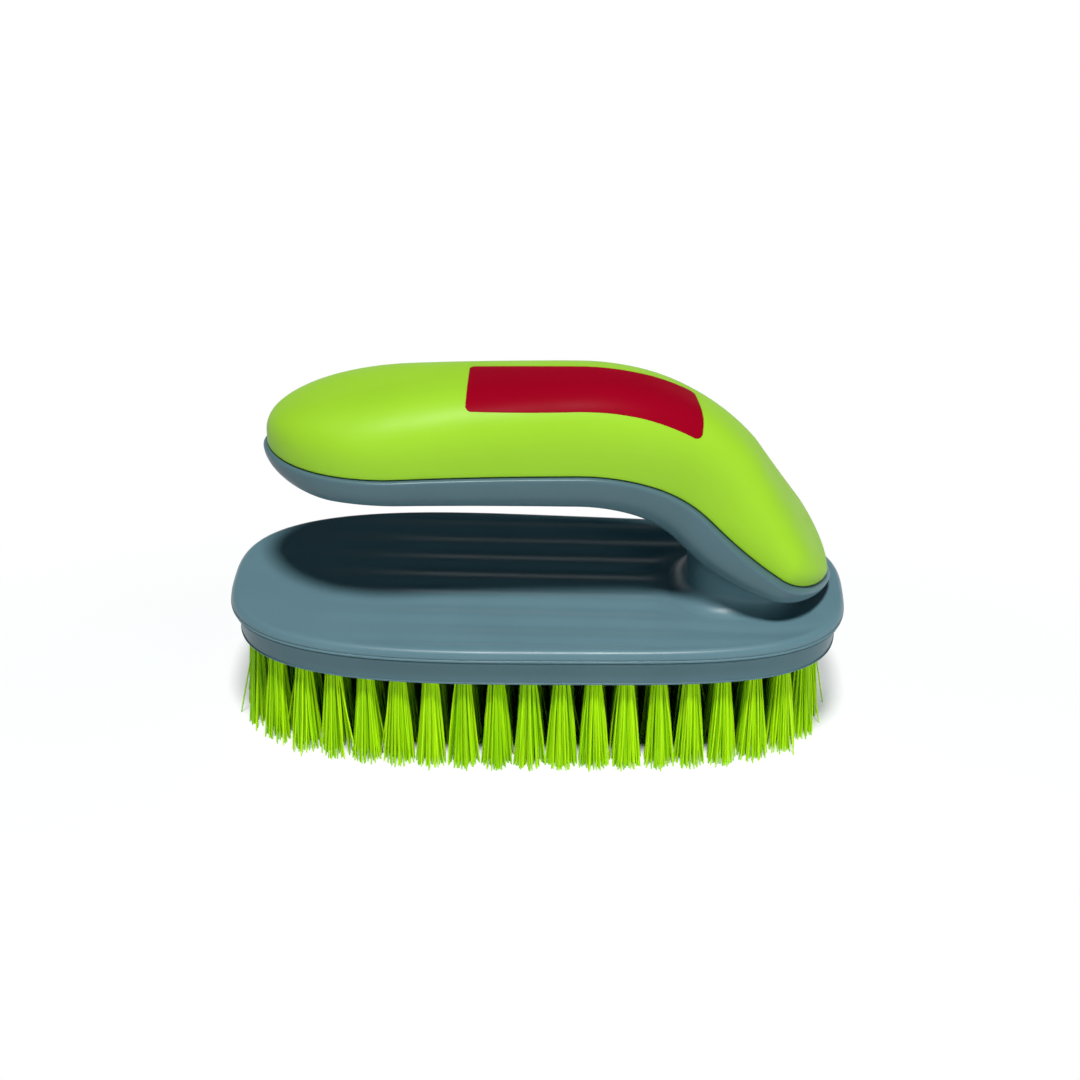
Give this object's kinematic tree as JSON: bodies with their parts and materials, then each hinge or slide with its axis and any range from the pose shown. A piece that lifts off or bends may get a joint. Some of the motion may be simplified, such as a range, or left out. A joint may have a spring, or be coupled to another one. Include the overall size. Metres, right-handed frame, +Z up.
{
  "type": "hand scrubbing brush",
  "caption": "Iron-shaped hand scrubbing brush: a rounded oblong tuft plate under a fluted cover, and a bent handle with a hollow grip shell that rises from a neck at one end.",
  "frame": {"origin": "on the floor that the bristle tips stand on, under the middle of the cover plate", "axes": "+X along the brush, from the free end of the handle to the end where the neck stands; +Y across the brush, away from the side that the picture was taken from; +Z up"},
  "size_m": [0.15, 0.0638, 0.0934],
  "materials": {
    "grey_plastic": "satin blue-grey polypropylene, moulded",
    "green_grip": "satin lime green, moulded",
    "red_label": "plain dark red sheet label",
    "green_bristle": "stiff lime green synthetic bristle"
  },
  "bodies": {
    "root": {"handle_frame": "grey_plastic", "grip_shell": "green_grip", "grip_label": "red_label", "tuft_block": "grey_plastic", "tuft_row_01": "green_bristle", "tuft_row_02": "green_bristle", "tuft_row_03": "green_bristle", "tuft_row_04": "green_bristle", "tuft_row_05": "green_bristle", "tuft_row_06": "green_bristle", "tuft_row_07": "green_bristle", "tuft_row_08": "green_bristle", "tuft_row_09": "green_bristle", "tuft_row_10": "green_bristle", "tuft_row_11": "green_bristle", "tuft_row_12": "green_bristle", "tuft_row_13": "green_bristle", "tuft_row_14": "green_bristle", "tuft_row_15": "green_bristle", "tuft_row_16": "green_bristle", "tuft_row_17": "green_bristle", "tuft_row_18": "green_bristle", "tuft_row_19": "green_bristle"}
  },
  "joints": []
}
